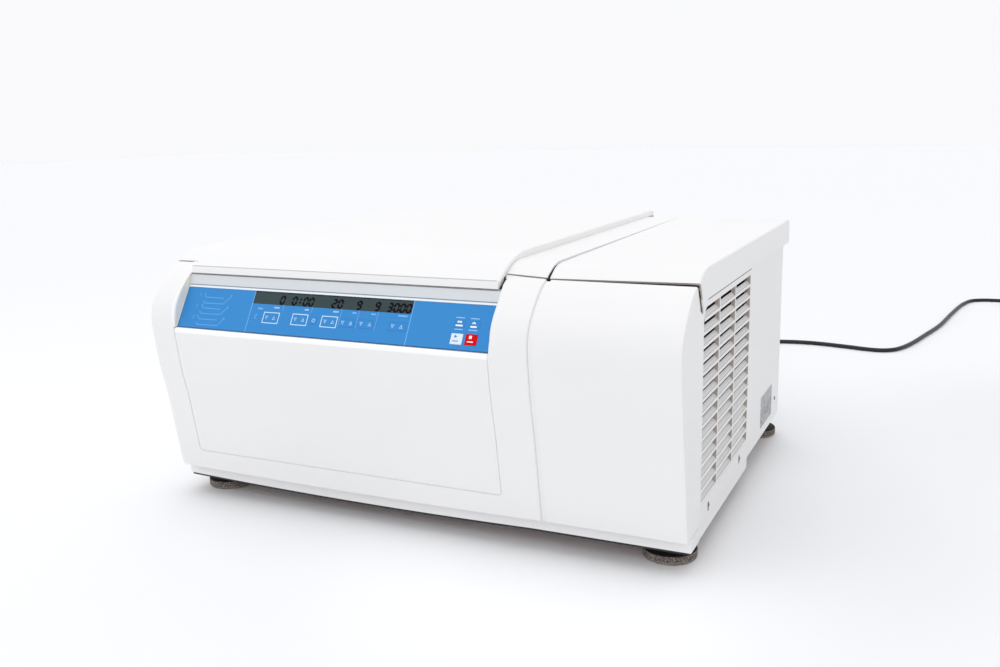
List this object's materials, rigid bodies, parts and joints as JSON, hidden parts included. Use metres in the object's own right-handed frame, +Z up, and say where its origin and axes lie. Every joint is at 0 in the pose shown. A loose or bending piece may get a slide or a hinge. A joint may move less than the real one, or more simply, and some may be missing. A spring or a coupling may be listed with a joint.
{
  "type": "refrigerated bench centrifuge",
  "caption": "Wide white bench centrifuge with a hinged lid over a cooled rotor chamber, a sloping blue keypad, a louvred side intake and a trailing mains cord.",
  "frame": {"origin": "centre of the object's footprint box without its cord, on the surface that its feet stand on", "axes": "+Z up, -Y to the front (control panel), +X to the viewer's right (refrigeration section)"},
  "size_m": [1.2295, 1.9835, 0.36],
  "materials": {
    "white_paint": "satin powder coat",
    "white_plastic": "satin moulded",
    "grey_plastic": "satin",
    "grille_plastic": "satin moulded",
    "keypad_blue": "fine matt film",
    "key_white": "fine matt film",
    "key_red": "fine matt film",
    "display": "gloss",
    "dark_plastic": "satin",
    "foot_rubber": "granular matt",
    "stainless": "brushed",
    "alloy": "satin",
    "copper": "satin",
    "foam": "open foam",
    "seal": "matt",
    "black_enamel": "gloss",
    "board": "solder mask",
    "cord_black": "satin"
  },
  "bodies": {
    "cabinet": {"base_pan": "white_paint", "foot_front_left": "foot_rubber", "foot_front_right": "foot_rubber", "foot_rear_left": "foot_rubber", "foot_rear_right": "foot_rubber", "front_bezel": "white_plastic", "fridge_front": "white_plastic", "front_access_panel": "white_plastic", "control_overlay": "keypad_blue", "display_window": "display", "control_board": "board", "panel_fascia": "grey_plastic", "top_deck": "white_plastic", "fridge_top_cover": "white_plastic", "left_side_panel": "white_paint", "right_side_panel": "white_paint", "side_grille": "grille_plastic", "rear_panel": "grey_plastic", "switch_frame": "dark_plastic", "cord_gland": "cord_black", "mains_cord": "cord_black", "cord_coil": "cord_black", "mains_plug": "cord_black", "chamber_bowl": "stainless", "chamber_gasket": "seal", "insulation_shell": "foam", "evaporator_coil": "copper", "drive_motor": "alloy", "lock_unit": "dark_plastic", "hinge_rod": "stainless", "hinge_bracket_left": "stainless", "hinge_bracket_right": "stainless", "compressor": "black_enamel", "condenser": "alloy", "fan_shroud": "dark_plastic", "refrigerant_pipe": "copper", "power_unit": "grey_plastic"},
    "lid": {"lid_shell": "white_plastic", "lid_liner": "grey_plastic", "lid_hook": "stainless"},
    "rotor": {"rotor_body": "alloy", "rotor_nut": "dark_plastic", "drive_spindle": "stainless"},
    "bucket_a": {"bucket_1": "stainless"},
    "bucket_b": {"bucket_2": "stainless"},
    "bucket_c": {"bucket_3": "stainless"},
    "bucket_d": {"bucket_4": "stainless"},
    "fan": {"condenser_fan": "dark_plastic"},
    "rocker_switch": {"mains_switch": "dark_plastic"},
    "key_rocker_1": {"key_rocker_1": "keypad_blue"},
    "key_rocker_2": {"key_rocker_2": "keypad_blue"},
    "key_star": {"key_star": "keypad_blue"},
    "key_rocker_3": {"key_rocker_3": "keypad_blue"},
    "key_rocker_4": {"key_rocker_4": "keypad_blue"},
    "key_rocker_5": {"key_rocker_5": "keypad_blue"},
    "key_rocker_6": {"key_rocker_6": "keypad_blue"},
    "key_pulse": {"key_pulse": "keypad_blue"},
    "key_open": {"key_open": "keypad_blue"},
    "key_start": {"key_start": "key_white"},
    "key_stop": {"key_stop": "key_red"}
  },
  "joints": [
    {"name": "lid_hinge", "type": "hinge", "parent": "cabinet", "child": "lid", "pos_m": [0, 0.318, 0.337], "axis": [-1, 0, 0], "range_deg": [0, 80]},
    {"name": "rotor_spin", "type": "hinge", "parent": "cabinet", "child": "rotor", "pos_m": [-0.095, 0.02, 0.2], "axis": [0, 0, 1], "continuous": true},
    {"name": "fan_spin", "type": "hinge", "parent": "cabinet", "child": "fan", "pos_m": [0.316, -0.1175, 0.18], "axis": [1, 0, 0], "continuous": true},
    {"name": "mains_rocker", "type": "hinge", "parent": "cabinet", "child": "rocker_switch", "pos_m": [0.3, 0.262, 0.092], "axis": [1, 0, 0], "range_deg": [-12, 0]},
    {"name": "bucket_a_swing", "type": "hinge", "parent": "rotor", "child": "bucket_a", "pos_m": [0.009, 0.02, 0.234], "axis": [0, -1, 0], "range_deg": [0, 90]},
    {"name": "bucket_b_swing", "type": "hinge", "parent": "rotor", "child": "bucket_b", "pos_m": [-0.095, 0.124, 0.234], "axis": [1, 0, 0], "range_deg": [0, 90]},
    {"name": "bucket_c_swing", "type": "hinge", "parent": "rotor", "child": "bucket_c", "pos_m": [-0.199, 0.02, 0.234], "axis": [0, 1, 0], "range_deg": [0, 90]},
    {"name": "bucket_d_swing", "type": "hinge", "parent": "rotor", "child": "bucket_d", "pos_m": [-0.095, -0.084, 0.234], "axis": [-1, 0, 0], "range_deg": [0, 90]},
    {"name": "key_rocker_1_tilt", "type": "hinge", "parent": "cabinet", "child": "key_rocker_1", "pos_m": [-0.1774, -0.32076, 0.27312], "axis": [0, 0.5168, 0.8561], "range_deg": [-1.5, 1.5], "stiffness_Nm_per_rad": 0.5},
    {"name": "key_rocker_2_tilt", "type": "hinge", "parent": "cabinet", "child": "key_rocker_2", "pos_m": [-0.1321, -0.3205, 0.27354], "axis": [0, 0.5168, 0.8561], "range_deg": [-1.5, 1.5], "stiffness_Nm_per_rad": 0.5},
    {"name": "key_star_press", "type": "slide", "parent": "cabinet", "child": "key_star", "axis": [0, 0.8561, -0.5168], "range_m": [0, 0.0005], "stiffness_N_per_m": 400, "springref_m": -0.0005},
    {"name": "key_rocker_3_tilt", "type": "hinge", "parent": "cabinet", "child": "key_rocker_3", "pos_m": [-0.0867, -0.32045, 0.27363], "axis": [0, 0.5168, 0.8561], "range_deg": [-1.5, 1.5], "stiffness_Nm_per_rad": 0.5},
    {"name": "key_rocker_4_tilt", "type": "hinge", "parent": "cabinet", "child": "key_rocker_4", "pos_m": [-0.0598, -0.32034, 0.2738], "axis": [0, 0.5168, 0.8561], "range_deg": [-1.5, 1.5], "stiffness_Nm_per_rad": 0.5},
    {"name": "key_rocker_5_tilt", "type": "hinge", "parent": "cabinet", "child": "key_rocker_5", "pos_m": [-0.0328, -0.32019, 0.27406], "axis": [0, 0.5168, 0.8561], "range_deg": [-1.5, 1.5], "stiffness_Nm_per_rad": 0.5},
    {"name": "key_rocker_6_tilt", "type": "hinge", "parent": "cabinet", "child": "key_rocker_6", "pos_m": [0.0128, -0.32019, 0.27406], "axis": [0, 0.5168, 0.8561], "range_deg": [-1.5, 1.5], "stiffness_Nm_per_rad": 0.5},
    {"name": "key_pulse_press", "type": "slide", "parent": "cabinet", "child": "key_pulse", "axis": [0, 0.8561, -0.5168], "range_m": [0, 0.0005], "stiffness_N_per_m": 400, "springref_m": -0.0005},
    {"name": "key_open_press", "type": "slide", "parent": "cabinet", "child": "key_open", "axis": [0, 0.8561, -0.5168], "range_m": [0, 0.0005], "stiffness_N_per_m": 400, "springref_m": -0.0005},
    {"name": "key_start_press", "type": "slide", "parent": "cabinet", "child": "key_start", "axis": [0, 0.8561, -0.5168], "range_m": [0, 0.0005], "stiffness_N_per_m": 400, "springref_m": -0.0005},
    {"name": "key_stop_press", "type": "slide", "parent": "cabinet", "child": "key_stop", "axis": [0, 0.8561, -0.5168], "range_m": [0, 0.0005], "stiffness_N_per_m": 400, "springref_m": -0.0005}
  ]
}
